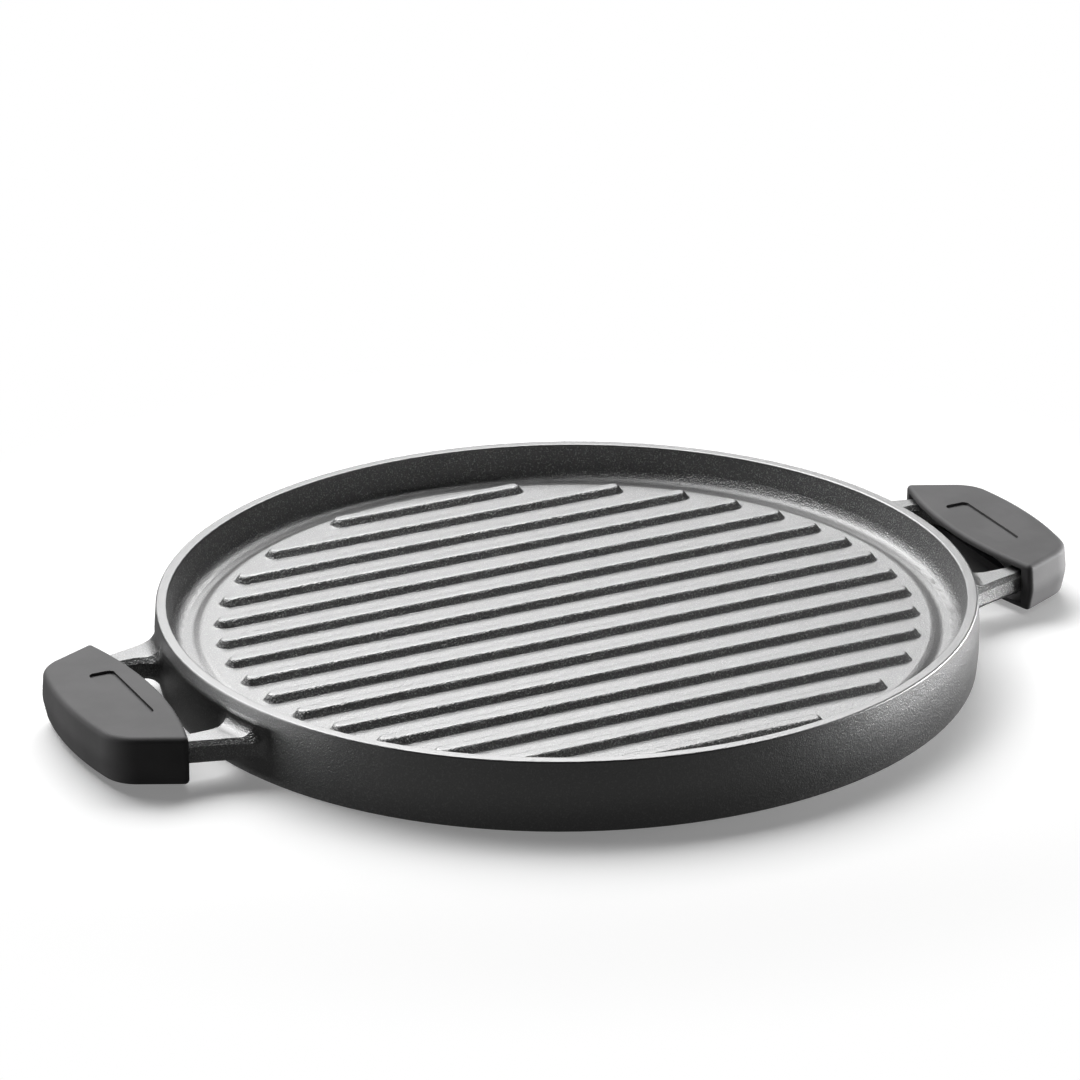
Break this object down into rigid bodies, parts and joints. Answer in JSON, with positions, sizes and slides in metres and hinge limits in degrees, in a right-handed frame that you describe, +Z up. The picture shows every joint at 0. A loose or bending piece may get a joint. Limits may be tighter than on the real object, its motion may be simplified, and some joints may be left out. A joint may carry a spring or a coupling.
{
  "type": "reversible griddle",
  "caption": "Round cast iron griddle with a smooth face, a ribbed face and a drip gutter, carried by two loop handles with pull-off silicone grips.",
  "frame": {"origin": "on the resting plane, under the centre of the round pan", "axes": "+Z up with the ribbed face on top, +X along the line of the two handles, +Y across it"},
  "size_m": [0.3936, 0.3016, 0.0265],
  "materials": {
    "seasoned_iron": "black seasoned casting with a fine pebbled skin and a soft satin sheen",
    "silicone": "matt charcoal moulded silicone with soft edges"
  },
  "bodies": {
    "casting": {"griddle_casting": "seasoned_iron"},
    "left_sleeve": {"left_grip": "silicone"},
    "right_sleeve": {"right_grip": "silicone"}
  },
  "joints": [
    {"name": "left_grip_pull", "type": "slide", "parent": "casting", "child": "left_sleeve", "axis": [-1, 0, 0], "range_m": [0, 0.045]},
    {"name": "right_grip_pull", "type": "slide", "parent": "casting", "child": "right_sleeve", "axis": [1, 0, 0], "range_m": [0, 0.045]}
  ]
}
